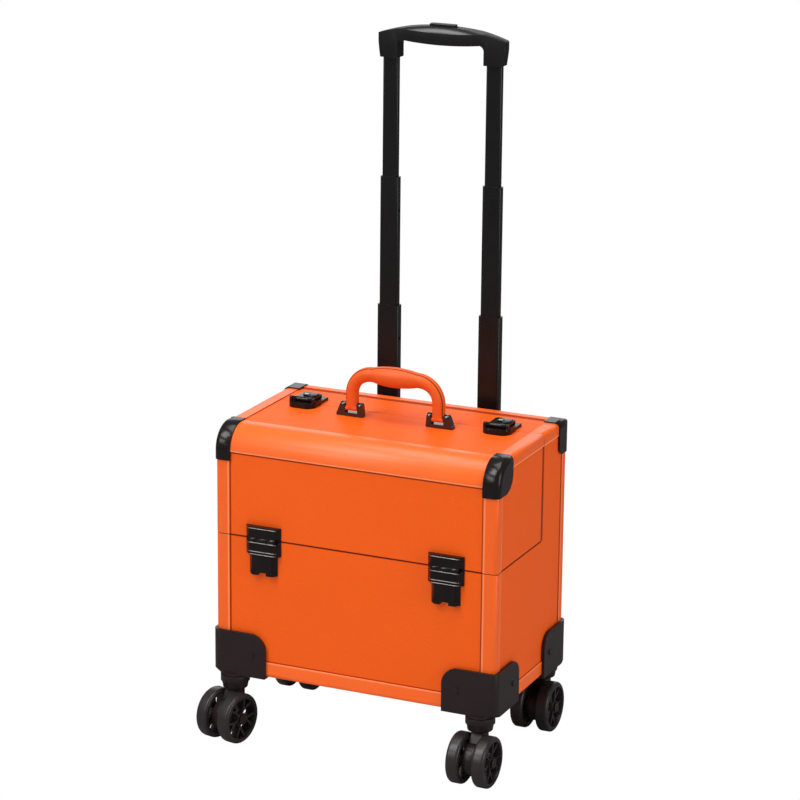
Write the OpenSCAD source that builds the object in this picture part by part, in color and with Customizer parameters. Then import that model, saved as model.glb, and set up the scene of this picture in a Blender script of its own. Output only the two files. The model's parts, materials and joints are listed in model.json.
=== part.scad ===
// Rolling makeup case: an orange leather covered box on four twin-wheel casters, with a lid that
// swings forward on two front hinges, stepping trays, two key locks and a telescopic trolley handle.
// X runs from left to right, Y from front to rear, Z up. The origin is on the floor under the case.

/* [Case] */
// Width of the case across its corner profiles
case_w = 400; // [340:5:460]
// Depth of the case from front to rear
case_d = 234; // [220:2:280]
// Height of the case without its casters
case_h = 338; // [320:2:400]
// Height of the case's underside above the floor
clearance_h = 92; // [90:1:110]
// Height of the front parting line above the underside
part_h = 192; // [180:1:205]
// Depth of the fixed strip behind the lid
rear_strip_d = 80; // [74:1:90]
// Gap between lid and base
seam = 1.2; // [0.8:0.1:2]
// Thickness of the leather covered board
board_t = 7; // [5:0.5:9]
// Radius of the rounded front top rail
nose_r = 33; // [26:1:36]
// Width of the flat that the front rail lays on the top board
nose_lap = 7; // [4:1:12]

/* [Profiles] */
// Sheet thickness of the corner profiles
profile_t = 1.4; // [1:0.1:2]
// Radius of the profiles' outer edge
edge_r = 6; // [4:0.5:8]
// Width of the upright profiles on the front and rear faces
post_face_w = 20; // [16:1:26]
// Width of the upright profiles on the side faces
post_side_w = 15; // [12:1:20]
// Height of the bottom profiles on the outer faces
foot_face_h = 22; // [18:1:26]
// Height of the top profiles on the side faces
head_side_h = 16; // [12:1:20]
// Width of the top profiles on the top face
head_top_w = 19; // [15:1:24]
// Depth of the rear rail on the top face
rear_rail_w = 15; // [12:1:20]

/* [Corners] */
// Wall of the moulded top corners
cap_t = 1.8; // [1.2:0.2:2.6]
// Width of the top corners on the front face
cap_w = 21.5; // [18:0.5:26]
// Height of the front top corners
cap_h = 45; // [40:1:50]
// Reach of the front top corners along the top
cap_reach = 45; // [40:1:52]
// Reach of the rear top corners along the side
rear_cap_reach = 30; // [24:1:38]
// Wall of the bottom corner brackets
bracket_t = 4; // [3:0.5:5]
// Length of a bottom bracket along each face
bracket_l = 77; // [66:1:84]
// Height of a bottom bracket above the underside
bracket_h = 59; // [50:1:66]
// Radius of the brackets' rounded upper corner
bracket_r = 22; // [14:1:28]

/* [Casters] */
// Wheel diameter
wheel_d = 68; // [60:1:72]
// Width of one wheel
wheel_w = 17.5; // [15:0.5:19]
// Distance between the two wheels' middle planes
wheel_gap = 36; // [34:0.5:40]
// Distance of the axle in front of the swivel
trail = 18; // [14:1:22]
// Distance of the swivels from the case's sides
swivel_in_x = 23; // [20:1:30]
// Distance of the swivels from the front and rear faces
swivel_in_y = 9; // [8:0.5:16]
// Axle diameter
axle_d = 8; // [6:0.5:10]
// Swivel stem diameter
stem_d = 10; // [8:0.5:12]
// Spokes of a wheel
spokes = 5; // [4:1:7]
// How far the front right caster has turned
turn_front_right = -1; // [-20:1:20]
// How far the front left caster has turned
turn_front_left = -12; // [-20:1:20]
// How far the rear casters have turned
turn_rear = 0; // [-20:1:20]

/* [Hinges] */
// Distance of the hinges from the middle
hinge_x = 130; // [100:1:140]
// Width of a hinge leaf
hinge_w = 50; // [44:1:56]
// How far a hinge stands proud of the face
hinge_t = 6; // [5:0.5:7]
// Height of the upper leaf
hinge_up_h = 17.5; // [16:0.5:26]
// Height of the lower leaf
hinge_down_h = 48; // [40:1:56]
// Knuckle diameter
knuckle_d = 7; // [6:0.5:8]
// Hinge pin diameter
hinge_pin_d = 3; // [2.5:0.25:3.5]

/* [Locks] */
// Distance of the locks from the middle
lock_x = 140; // [120:1:150]
// Width of a lock
lock_w = 38; // [36:1:46]
// Length of a lock in front of the seam
lock_l = 29; // [28:1:36]
// Thickness of the lock's case
lock_h = 6; // [5.5:0.5:9]
// Width of the flap
flap_w = 28; // [24:1:32]
// Thickness of the flap
flap_t = 6; // [6:0.5:8]
// Diameter of the key barrel
barrel_d = 10; // [8:0.5:12]
// Length of the strike on the fixed strip
strike_l = 24; // [20:1:28]

/* [Carry handle] */
// Distance of the handle's feet from the middle
foot_x = 62; // [54:1:70]
// Distance of the handle behind the case's middle
handle_y = 9; // [6:1:14]
// Height of the grip's middle above the pivots
handle_rise = 45.5; // [42:0.5:54]
// Thickness of the legs
leg_d = 17; // [15:0.5:17]
// Thickness of the grip at its middle
grip_d = 27; // [24:0.5:28]
// Height of the pivots above the top
pivot_h = 12.5; // [12:0.5:16]

/* [Trolley] */
// Distance of the tubes from the middle
tube_x = 74; // [60:0.5:90]
// Distance of the tubes' middle behind the rear face
tube_back = 33.5; // [28:0.5:40]
// Width of the fixed tube
tube_w = 35.5; // [34:0.5:40]
// Depth of the fixed tube
tube_d = 17; // [16:0.5:20]
// Difference in width between one section and the next
step_w = 4.5; // [4:0.25:5]
// Difference in depth between one section and the next
step_d = 2.8; // [2.6:0.1:3]
// Wall of the tubes
tube_t = 1.1; // [0.9:0.1:1.2]
// How far the first section stands out of the fixed tube
pull_1 = 132; // [110:1:140]
// How far the second section stands out of the first
pull_2 = 176; // [150:1:190]
// How far the third section stands out of the second
pull_3 = 162; // [140:1:175]
// Width of the trolley grip
pull_grip_w = 183; // [178:1:200]
// Depth of the trolley grip
pull_grip_d = 30; // [26:1:34]
// Height of the trolley grip with its legs
pull_grip_h = 46; // [42:1:52]
// Width of the release button
button_w = 37; // [32:1:46]
// Travel of the release button
button_travel = 3; // [2:0.5:3]

/* [Trays] */
// Height of the upper tray
tray_up_h = 52; // [40:1:56]
// Height of the lower tray
tray_low_h = 24; // [20:1:26]
// Depth of the trays
tray_d = 162; // [140:1:166]
// Wall of the trays
tray_t = 3; // [2:0.5:4]
// Thickness of the swing arms
arm_t = 2.5; // [2:0.5:3]
// Width of the swing arms
arm_w = 12; // [10:1:14]
// Distance between the front and the rear arms
arm_gap = 50; // [40:1:56]
// Swing arm reach towards the rear
arm_dy = 70; // [60:1:74]
// Swing arm rise
arm_dz = 56; // [48:1:60]
// Pivot pin diameter
pin_d = 5; // [4:0.5:6]

/* [Hidden] */
$fn = 48;

// Colours
ORANGE = [0.93, 0.38, 0.16];
RAIL = [0.98, 0.43, 0.2];
BLACK = [0.14, 0.12, 0.12];
DARK = [0.09, 0.09, 0.09];
STEEL = [0.7, 0.7, 0.72];
FELT = [0.2, 0.19, 0.2];

// Clearances
run = 0.05;
seat = 0.15;
slip = 0.3;
through = 1;

// The case
hw = case_w / 2;
hd = case_d / 2;
z_bottom = clearance_h;
z_top = clearance_h + case_h;
z_part = clearance_h + part_h;
y_split = hd - rear_strip_d;
wall = profile_t + board_t;
inner_x = hw - wall;
inner_y = hd - wall;
z_lid = z_part + seam / 2;
z_base = z_part - seam / 2;
z_nose = z_top - nose_r;
z_seat = z_top - profile_t;
y_nose = nose_r - hd;
flange = 15;
mat_t = 1.5;

// The top corners
cap_r = edge_r + cap_t;
cap_corner_r = 24;
rear_cap_r = 10;
rear_cap_corner_r = 12;

// The hinges
hinge_y = -hd - knuckle_d / 2 - slip;
hinge_z = z_part;
leaf_slope = 6;
leaf_step = 20;
leaf_inset = 5;
knuckle_l = 16;
knuckle_side_l = 11;
rivet_d = 4.4;
rivet_h = 0.8;
rivet_x = 13;
rib_h = 1.4;
notch_w = 12;
notch_h = 4;

// The locks
lock_y0 = y_split - lock_l;
strike_h = 3;
lip_h = 2;
lip_t = 2;
beak_t = 3;
beak_gap = 1.7;
lock_r = 12;
flap_pivot_in = 10;
flap_over = 15;
barrel_from_pivot = 14;
key_t = 1.2;
flap_pivot_y = lock_y0 + flap_pivot_in;
flap_z0 = z_top + lock_h + slip;
flap_pivot_z = flap_z0 + flap_t / 2;
flap_end = y_split + flap_over;
barrel_y = flap_pivot_y + barrel_from_pivot;
trunnion_d = 3;
ear_t = 3.5;

// The carry handle
handle_z = z_top + pivot_h;
foot_plate_t = 3.5;
foot_w = 38;
foot_d = 10;
foot_ear_t = 6;
foot_out = 2.5;
leg_end = 5.5;
grip_drop = 1.5;
grip_over = 14;
handle_r = 30;
pivot_pin_d = 5;

// The trolley
tube_y = hd + tube_back;
tube_r = 4;
fixed_up = 12;
fixed_down = 15;
fixed_z0 = z_bottom + fixed_up;
fixed_z1 = z_top - fixed_down;
sec_1_top = fixed_z1 + pull_1;
sec_2_top = sec_1_top + pull_2;
sec_3_top = sec_2_top + pull_3;
tube_grip = 78;
bush_h = 10;
dot_down = 46;
dot_d = 4;
rear_z = hd - profile_t;
plate_t = 3;
plate_w = 220;
plate_h = 40;
sleeve_t = 3;
neck_w = 24;
grip_z0 = sec_3_top - 1;
crown_r = 300;
crown_z = grip_z0 + pull_grip_h - crown_r;
grip_round = 8;
grip_end_d = 17;
grip_end_r = 5;
hand_w = 124;
hand_h = 26;
belly_h = 3.5;
grip_taper = 4.5;
crown_flat = 5;
crown_slope = 8;
rear_edge = 7;
rod_d = 4;
bar_h = 4;
bar_d = 8;
bar_x = tube_x + rod_d / 2;
button_d = 12;
button_up = 2.6;

// The trays
arm_drop = 10;
arm_in = 6;
tray_front = 11;
tray_drop = 5;
tray_y = tray_front - inner_y;
arm_y = tray_y + tray_d - arm_in - arm_gap - arm_dy;
arm_z = z_part - arm_drop;
tray_pin_y = hinge_y + arm_dy;
tray_pin_z = hinge_z + arm_dz;
arm_x = inner_x - slip - arm_t;
tray_gap = 1.2;
tray_x = arm_x - tray_gap;
tray_up_z = arm_z + arm_dz - tray_drop;
tray_low_z = arm_z + arm_dz / 2 - tray_drop;
boss_d = pin_d + 4;
head_t = 1;
divider_t = 2;

// The corner brackets and the casters
swivel_x = hw - swivel_in_x;
swivel_y = hd - swivel_in_y;
bracket_base_t = 1.5;
bracket_z0 = z_bottom - bracket_base_t;
bracket_edge_r = 10;
bracket_chamfer = 6.5;
socket_d = 36;
socket_h = 2;
socket_z0 = bracket_z0 - socket_h;
bolt_d = 8;
bolt_h = 1.5;
bolt_in = 20;
axle_z = wheel_d / 2;
fork_w = 16;
fork_boss_d = 44;
dome_d = 39;
dome_step = 9;
dome_lip = 1.5;
neck_d = 20;
neck_h = 2;
rim_d = 55;
rim_w = 10;
hub_d = 16;
spoke_w = 3;
spoke_fork = 28;
tyre_r = 4;
hub_cap_d = 14;
cap_lip = 1.5;

corners = [
    ["front_left", -1, -1, turn_front_left],
    ["front_right", 1, -1, turn_front_right],
    ["rear_left", -1, 1, turn_rear],
    ["rear_right", 1, 1, turn_rear]
];
sides = [-1, 1];

// A square with its far corner rounded, from the origin to x, y
module round_square(x, y, r) {
    square([x - r, y]);
    square([x, y - r]);
    intersection() {
        square([x, y]);
        translate([x - r, y - r]) circle(r = r);
    }
}

// A centred rectangle with four round corners
module round_rect(x, y, r) {
    square([x - 2 * r, y], center = true);
    square([x, y - 2 * r], center = true);
    for (i = sides, j = sides) translate([i * (x / 2 - r), j * (y / 2 - r)]) circle(r = r);
}

// Shapes drawn in Y and Z, standing out along X
module along_x(length) {
    rotate([90, 0, 90]) linear_extrude(length, center = true) children();
}

// Shapes drawn in X and Z, standing out along Y
module along_y(length) {
    rotate([90, 0, 0]) linear_extrude(length, center = true) children();
}

// The block of a corner profile with its outer edge on the origin, lying in -X and -Y
module corner_block() {
    translate([-wall, -wall]) round_square(wall, wall, edge_r);
}

// The two flanges of a corner profile
module corner_flanges(flange_x, flange_y) {
    translate([-flange_x, -profile_t]) square([flange_x - edge_r, profile_t]);
    translate([-profile_t, -flange_y]) square([profile_t, flange_y - edge_r]);
}

// Board with its outer face just under the profiles
module base_front_panel() {
    color(ORANGE) translate([-inner_x, -hd + profile_t, z_bottom + wall])
        cube([2 * inner_x, board_t, z_base - z_bottom - wall]);
}

module base_rear_panel() {
    color(ORANGE) translate([-inner_x, inner_y, z_bottom + wall])
        cube([2 * inner_x, board_t, case_h - 2 * wall]);
}

// Each side board rises behind the lid to the full height
module base_side_panels() {
    color(ORANGE) for (i = sides) translate([i * (inner_x + board_t / 2), 0, 0])
        along_x(board_t) {
            translate([-inner_y, z_bottom + wall]) square([2 * inner_y, z_base - z_bottom - wall]);
            translate([y_split + seam / 2, z_bottom + wall])
                square([inner_y - y_split - seam / 2, case_h - 2 * wall]);
        }
}

module base_bottom_panel() {
    color(ORANGE) translate([-inner_x, -inner_y, z_bottom + profile_t])
        cube([2 * inner_x, 2 * inner_y, board_t]);
}

module rear_top_panel() {
    color(ORANGE) translate([-inner_x, y_split + seam / 2, z_top - wall])
        cube([2 * inner_x, inner_y - y_split - seam / 2, board_t]);
}

module bottom_mat() {
    color(FELT) translate([-inner_x, -inner_y, z_bottom + wall])
        cube([2 * inner_x, 2 * inner_y, mat_t]);
}

// Upright corner profiles, low in front and full height behind
module base_posts() {
    color(RAIL) for (i = [0, 1]) mirror([i, 0, 0]) {
        translate([hw, -hd, z_bottom]) mirror([0, 1, 0]) base_post(z_base - z_bottom);
        translate([hw, hd, z_bottom]) base_post(case_h - wall);
    }
}

// Corner post of height h whose flanges stand on the bottom profiles
module base_post(h) {
    linear_extrude(h) corner_block();
    translate([0, 0, wall + seat]) linear_extrude(h - wall - seat) corner_flanges(post_face_w, post_side_w);
}

// Profiles around the underside, with the corners left to the posts
module bottom_profiles() {
    color(RAIL) for (i = [0, 1]) {
        mirror([0, i, 0]) {
            along_x(2 * inner_x) translate([hd, z_bottom]) mirror([0, 1]) corner_block();
            along_x(2 * (hw - post_face_w)) translate([hd, z_bottom]) mirror([0, 1])
                corner_flanges(flange, foot_face_h);
        }
        mirror([i, 0, 0]) {
            along_y(2 * (inner_y - seat)) translate([hw, z_bottom]) mirror([0, 1]) corner_block();
            along_y(2 * (hd - post_side_w)) translate([hw, z_bottom]) mirror([0, 1])
                corner_flanges(flange, foot_face_h);
        }
    }
}

// Rear rail and the short side profiles behind the lid
module rear_top_profiles() {
    color(RAIL) {
        along_x(2 * inner_x) translate([hd, z_top]) corner_block();
        along_x(2 * (hw - head_top_w)) translate([hd, z_top]) corner_flanges(rear_rail_w, flange);
        for (i = [0, 1]) mirror([i, 0, 0]) {
            translate([hw, y_split + seam / 2, z_top]) rear_length(inner_y - seat) corner_block();
            translate([hw, y_split + seam / 2, z_top]) rear_length(hd - rear_rail_w - seat)
                corner_flanges(head_top_w, head_side_h);
        }
    }
}

// Runs a shape drawn in X and Z from the lid's seam back to y1
module rear_length(y1) {
    rotate([90, 0, 0]) mirror([0, 0, 1]) linear_extrude(y1 - y_split - seam / 2) children();
}

// The solid where three rounded edges meet, with its outer corner on the origin
module three_way(x, y, z, r) {
    intersection() {
        translate([-x, -y, -z]) linear_extrude(z) round_square(x, y, r);
        translate([-x / 2, -y, -z]) along_x(x) round_square(y, z, r);
        translate([-x, -y / 2, -z]) along_y(y) round_square(x, z, r);
    }
}

// Moulded corners where the rear posts meet the top profiles
module rear_top_corners() {
    color(BLACK) for (i = [0, 1]) mirror([i, 0, 0]) {
        difference() {
            translate([hw + cap_t, hd + cap_t, z_top + cap_t]) intersection() {
                three_way(cap_w + cap_t, rear_cap_reach + cap_t, cap_h, cap_r);
                along_x(2 * (cap_w + cap_t)) rotate(180)
                    round_square(rear_cap_reach + cap_t, cap_h, rear_cap_corner_r);
                along_x(2 * (cap_w + cap_t)) translate([-rear_cap_reach - cap_t, -cap_h])
                    round_square(rear_cap_reach + cap_t, cap_h, rear_cap_r);
            }
            translate([hw, hd, z_top])
                three_way(cap_w + through, rear_cap_reach + through, cap_h + through, edge_r);
        }
        translate([hw, hd, z_top]) three_way(wall, wall, wall, edge_r);
    }
}

// Lid boards
module lid_front_panel() {
    color(ORANGE) translate([-inner_x, -hd + profile_t, z_lid])
        cube([2 * inner_x, board_t, z_nose - z_lid]);
}

module lid_top_panel() {
    color(ORANGE) translate([-inner_x, y_nose, z_top - wall])
        cube([2 * inner_x, y_split - seam / 2 - y_nose, board_t]);
}

module lid_side_panels() {
    r = nose_r - wall;
    color(ORANGE) for (i = sides) translate([i * (inner_x + board_t / 2), 0, 0])
        along_x(board_t) {
            translate([-inner_y, z_lid]) square([inner_y + y_split - seam / 2, z_nose - z_lid]);
            translate([y_nose, z_lid]) square([y_split - seam / 2 - y_nose, z_top - wall - z_lid]);
            translate([y_nose, z_nose]) circle(r = r);
        }
}

// Round front rail with a lap on the top board
module lid_front_rail() {
    color(RAIL) {
        along_x(2 * inner_x) difference() {
            translate([y_nose, z_nose]) circle(r = nose_r, $fn = 96);
            translate([y_nose, z_nose]) circle(r = nose_r - wall, $fn = 96);
            translate([y_nose, z_nose - 2 * nose_r]) square([2 * nose_r, 4 * nose_r]);
            translate([y_nose - 2 * nose_r, z_nose - 2 * nose_r]) square([4 * nose_r, 2 * nose_r]);
        }
        translate([head_top_w - hw, y_nose, z_top - profile_t])
            cube([2 * (hw - head_top_w), nose_lap, profile_t]);
    }
}

module lid_posts() {
    color(RAIL) for (i = [0, 1]) mirror([i, 0, 0]) translate([hw, -hd, z_lid]) mirror([0, 1, 0])
        linear_extrude(z_nose - z_lid) {
            corner_block();
            corner_flanges(post_face_w, post_side_w);
        }
}

module lid_top_profiles() {
    color(RAIL) for (i = [0, 1]) mirror([i, 0, 0]) translate([hw, y_nose, z_top])
        rotate([90, 0, 0]) mirror([0, 0, 1]) linear_extrude(y_split - seam / 2 - y_nose) {
            corner_block();
            corner_flanges(head_top_w, head_side_h);
        }
}

// Section of a moulded front corner: a skin over the profile below it
module cap_skin() {
    difference() {
        translate([-cap_w, -cap_r]) round_square(cap_w + cap_t, cap_r + cap_t, cap_r);
        translate([-cap_w - through, -cap_r - through])
            round_square(cap_w + through, cap_r + through, edge_r);
    }
}

// Side face of a moulded front corner
module cap_side() {
    intersection() {
        translate([-hd, z_top]) mirror([0, 1]) round_square(cap_reach, cap_h, cap_corner_r);
        union() {
            translate([y_nose, z_nose]) circle(r = nose_r - edge_r);
            translate([edge_r - hd, z_top - cap_h]) square([cap_reach, cap_h - nose_r]);
            translate([y_nose, z_top - cap_h]) square([cap_reach, cap_h - edge_r]);
        }
    }
}

// Moulded corners over the ends of the front rail
module lid_corners() {
    color(BLACK) for (i = [0, 1]) mirror([i, 0, 0]) {
        translate([hw, -hd, z_top - cap_h]) mirror([0, 1, 0])
            linear_extrude(cap_h - nose_r) cap_skin();
        translate([hw, y_nose, z_top]) rotate([90, 0, 0]) mirror([0, 0, 1])
            linear_extrude(cap_reach - nose_r) cap_skin();
        translate([0, y_nose, z_nose]) rotate([0, -90, 180])
            rotate_extrude(angle = 90, $fn = 96) translate([nose_r, hw]) mirror([1, -1]) {
                cap_skin();
                corner_block();
            }
        translate([hw + cap_t / 2, 0, 0]) along_x(cap_t) cap_side();
    }
}

// Outline of a hinge leaf seen from above, with bevelled sides
module leaf_section(w) {
    polygon([[-w / 2, profile_t], [w / 2, profile_t], [w / 2, 0], [w / 2 - leaf_slope, -hinge_t],
        [leaf_slope - w / 2, -hinge_t], [-w / 2, 0]]);
}

// Room around the hinge pin that a leaf leaves for the other leaf's knuckles
module knuckle_room(x0, x1) {
    translate([(x0 + x1) / 2, hinge_y, hinge_z]) along_x(x1 - x0) circle(r = knuckle_d / 2 + slip);
}

module knuckle(x0, x1) {
    translate([(x0 + x1) / 2, hinge_y, hinge_z]) along_x(x1 - x0) circle(d = knuckle_d);
}

module pin_bore() {
    translate([0, hinge_y, hinge_z]) along_x(hinge_w + through) circle(d = hinge_pin_d + 2 * run);
}

module hinge_lower_leaves() {
    color(BLACK) for (i = sides) translate([i * hinge_x, 0, 0]) {
        difference() {
            union() {
                difference() {
                    union() {
                        translate([0, -hd, z_base - leaf_step]) linear_extrude(leaf_step)
                            leaf_section(hinge_w);
                        translate([0, -hd, z_part - hinge_down_h])
                            linear_extrude(hinge_down_h - leaf_step) leaf_section(hinge_w - 2 * leaf_inset);
                    }
                    knuckle_room(knuckle_l / 2 + slip, hinge_w);
                    knuckle_room(-hinge_w, -knuckle_l / 2 - slip);
                    translate([-notch_w / 2, -hd - hinge_t - through, z_part - hinge_down_h - through])
                        cube([notch_w, hinge_t + profile_t + 2 * through, notch_h + through]);
                }
                knuckle(-knuckle_l / 2, knuckle_l / 2);
            }
            pin_bore();
        }
        for (j = [0, 1]) translate([leaf_slope - hinge_w / 2, -hd - hinge_t - rivet_h, 0])
            translate([0, 0, z_part - leaf_step + j * 3 * rib_h])
                cube([hinge_w - 2 * leaf_slope, rivet_h + through, rib_h]);
    }
}

module hinge_upper_leaves() {
    x0 = knuckle_l / 2 + slip;
    color(BLACK) for (i = sides) translate([i * hinge_x, 0, 0]) difference() {
        union() {
            difference() {
                translate([0, -hd, z_lid]) linear_extrude(hinge_up_h) leaf_section(hinge_w);
                knuckle_room(-x0, x0);
                knuckle_room(x0 + knuckle_side_l, hinge_w);
                knuckle_room(-hinge_w, -x0 - knuckle_side_l);
            }
            for (j = [0, 1]) mirror([j, 0, 0]) knuckle(x0, x0 + knuckle_side_l);
        }
        pin_bore();
    }
}

module hinge_pins() {
    pin_l = 2 * (knuckle_l / 2 + slip + knuckle_side_l);
    color(STEEL) for (i = sides) {
        translate([i * hinge_x, hinge_y, hinge_z]) along_x(pin_l) circle(d = hinge_pin_d);
        for (x = [-rivet_x, rivet_x], z = [leaf_step / 2, hinge_down_h - notch_h - rivet_h])
            translate([i * hinge_x + x, -hd - hinge_t - rivet_h / 2, z_part - z])
                along_y(rivet_h) circle(d = rivet_d);
    }
}

// Rows of the two locks: one module draws the lock on the side i
module lock_shape(w) {
    end = y_split - seam / 2;
    for (i = sides) translate([i * (w / 2 - lock_r), lock_y0 + lock_r]) circle(r = lock_r);
    translate([lock_r - w / 2, lock_y0]) square([w - 2 * lock_r, end - lock_y0]);
    translate([-w / 2, lock_y0 + lock_r]) square([w, end - lock_y0 - lock_r]);
}

module lock_cases() {
    ear_x = flap_w / 2 + slip;
    color(BLACK) for (i = sides) translate([i * lock_x, 0, 0]) {
        translate([0, 0, z_seat]) linear_extrude(lock_h + profile_t) lock_shape(lock_w);
        difference() {
            for (j = sides) translate([j * (ear_x + ear_t / 2), 0, 0]) along_x(ear_t) {
                translate([flap_pivot_y, flap_pivot_z]) circle(d = flap_t);
                translate([flap_pivot_y - flap_t / 2, z_top + lock_h - through])
                    square([flap_t, flap_pivot_z - z_top - lock_h + through]);
            }
            translate([0, flap_pivot_y, flap_pivot_z]) along_x(lock_w) circle(d = trunnion_d + 2 * run);
        }
    }
}

module lock_strikes() {
    w = lock_w - 2 * profile_t;
    color(BLACK) for (i = sides) translate([i * lock_x - w / 2, 0, z_top]) {
        translate([0, y_split + seam / 2, -profile_t]) cube([w, strike_l, strike_h + profile_t]);
        translate([(w - flap_w) / 2, flap_end - beak_t - beak_gap - lip_t, 0])
            cube([flap_w, lip_t, strike_h + lip_h]);
    }
}

// Flap that hooks behind the strike and turns up about the trunnions at its front end
module lock_flap(i) {
    beak_z = z_top + strike_h + lip_h / 2;
    color(BLACK) translate([i * lock_x, 0, 0]) difference() {
        union() {
            along_x(flap_w) {
                translate([flap_pivot_y, flap_pivot_z]) circle(d = flap_t);
                translate([flap_pivot_y, flap_z0]) square([flap_end - flap_pivot_y, flap_t]);
                translate([flap_end - beak_t, beak_z]) square([beak_t, flap_z0 - beak_z + through]);
            }
            translate([0, flap_pivot_y, flap_pivot_z]) along_x(flap_w + 2 * ear_t)
                circle(d = trunnion_d);
        }
        translate([0, barrel_y, flap_z0 - through]) cylinder(d = barrel_d + 2 * run, h = flap_t + 2 * through);
    }
}

module lock_flap_left() { lock_flap(-1); }
module lock_flap_right() { lock_flap(1); }

// Key barrel with its slot, standing a little proud of the flap
module lock_barrel(i) {
    key_w = barrel_d / 2;
    color(STEEL) translate([i * lock_x, barrel_y, flap_z0]) difference() {
        cylinder(d = barrel_d, h = flap_t + rivet_h);
        translate([-key_t / 2, -key_w / 2, flap_t / 2]) cube([key_t, key_w, flap_t]);
    }
}

module lock_barrel_left() { lock_barrel(-1); }
module lock_barrel_right() { lock_barrel(1); }

// Feet with two sloping ears and a pin for each leg
module handle_feet() {
    slot_w = leg_d + 2 * slip;
    pin_l = slot_w + 2 * foot_ear_t;
    ear_top = pivot_h + foot_d / 2;
    inner = foot_out - foot_w / 2;
    color(BLACK) for (i = [0, 1]) mirror([i, 0, 0]) translate([foot_x, handle_y, 0]) {
        translate([foot_out, 0, z_seat]) linear_extrude(foot_plate_t + profile_t)
            round_rect(foot_w, foot_d, cap_t);
        difference() {
            intersection() {
                translate([0, 0, z_top]) along_y(foot_d) polygon([
                    [inner, 0], [inner + foot_w, 0], [pin_l / 2, ear_top], [-pin_l / 2, ear_top]
                ]);
                along_x(2 * foot_w) {
                    translate([0, handle_z]) circle(d = foot_d);
                    translate([-foot_d / 2, z_top]) square([foot_d, pivot_h]);
                }
            }
            translate([-slot_w / 2, -foot_d, z_top + foot_plate_t]) cube([slot_w, 2 * foot_d, 2 * pivot_h]);
        }
        translate([0, 0, handle_z]) along_x(pin_l) circle(d = pivot_pin_d);
    }
}

// Carry handle: two round legs, two bends and a grip that swells towards its middle
module carry_handle() {
    bend_z = handle_z + handle_rise - handle_r;
    half_l = foot_x - handle_r;
    grip_l = half_l + grip_over;
    swell_r = (half_l * half_l) / (grip_d - leg_d - 2 * grip_drop);
    color(ORANGE) translate([0, handle_y, 0]) {
        difference() {
            for (i = sides) translate([i * foot_x, 0, handle_z]) {
                along_x(leg_d) intersection() {
                    circle(d = leg_d);
                    translate([-leg_d, -leg_end]) square(2 * leg_d);
                }
                cylinder(d = leg_d, h = bend_z - handle_z);
            }
            translate([0, 0, handle_z]) along_x(case_w) circle(d = pivot_pin_d + 2 * run);
        }
        for (i = [0, 1]) mirror([i, 0, 0]) translate([half_l, 0, bend_z]) rotate([90, 0, 0])
            rotate_extrude(angle = 90, $fn = 96) translate([handle_r, 0]) circle(d = leg_d);
        translate([0, 0, handle_z + handle_rise - grip_drop]) rotate([0, 90, 0]) rotate_extrude()
            intersection() {
                translate([grip_d / 2 - swell_r, 0]) circle(r = swell_r, $fn = 360);
                translate([0, -grip_l]) square([grip_d, 2 * grip_l]);
            }
    }
}

// Outer section of tube n, from 0 for the fixed tube to 3 for the innermost one
module tube_shape(n, grow) {
    round_rect(tube_w - n * step_w + 2 * grow, tube_d - n * step_d + 2 * grow, tube_r - n * tube_t / 2);
}

// Pair of tubes from z0 to z1, with a narrow throat at the top that guides the next section
module tube_pair(n, z0, z1) {
    for (i = sides) translate([i * tube_x, tube_y, 0]) difference() {
        union() {
            translate([0, 0, z0]) linear_extrude(z1 - z0) tube_shape(n, 0);
            if (n > 0) {
                translate([0, 0, z0]) linear_extrude(bush_h)
                    square([tube_w - (n - 1) * step_w - 2 * tube_t - 2 * seat, step_d], center = true);
                translate([0, 0, dot_z(n)]) rotate([0, -90 * i, 0])
                    cylinder(d = dot_d, h = (tube_w - (n - 1) * step_w) / 2 - tube_t - seat);
            }
        }
        translate([0, 0, z0 - through]) linear_extrude(z1 - z0 - bush_h + through) tube_shape(n, -tube_t);
        translate([0, 0, z0]) linear_extrude(z1 - z0 + through) intersection() {
            tube_shape(n, -tube_t);
            square([tube_w - (n + 1) * step_w + 2 * seat, tube_d], center = true);
        }
        if (n < 3) translate([0, 0, dot_z(n + 1)]) rotate([0, -90 * i, 0])
            cylinder(d = dot_d + 2 * slip, h = tube_w);
    }
}

// Height of the catch of section n, seen through a hole in the tube around it
function dot_z(n) = [0, fixed_z1, sec_1_top, sec_2_top][n] - dot_down;

module trolley_fixed_tubes() {
    color(DARK) tube_pair(0, fixed_z0, fixed_z1);
}

module trolley_section_1() {
    color(DARK) tube_pair(1, fixed_z1 - 2 * tube_grip, sec_1_top);
}

module trolley_section_2() {
    color(DARK) tube_pair(2, sec_1_top - tube_grip, sec_2_top);
}

module trolley_section_3() {
    color(DARK) tube_pair(3, sec_2_top - tube_grip, sec_3_top);
}

// Plate on the rear board with a neck and a sleeve around each fixed tube
module tube_bracket(z0, h, floor_t) {
    sleeve_w = tube_w + 2 * seat + 2 * sleeve_t;
    sleeve_d = tube_d + 2 * seat + 2 * sleeve_t;
    neck_d = tube_y - sleeve_d / 2 - rear_z + sleeve_t;
    translate([-plate_w / 2, rear_z, z0]) cube([plate_w, plate_t, h]);
    for (i = sides) translate([i * tube_x, 0, z0]) difference() {
        union() {
            translate([-neck_w / 2, rear_z, 0]) cube([neck_w, neck_d, h]);
            translate([0, tube_y, -floor_t]) linear_extrude(h + floor_t)
                round_rect(sleeve_w, sleeve_d, tube_r + sleeve_t);
        }
        translate([0, tube_y, 0]) linear_extrude(h + through) tube_shape(0, seat);
        if (floor_t == 0) translate([0, tube_y, -through]) linear_extrude(2 * through)
            tube_shape(0, seat);
    }
}

module trolley_top_bracket() {
    color(BLACK) tube_bracket(fixed_z1 - bush_h / 2 - plate_h, plate_h, 0);
}

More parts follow.
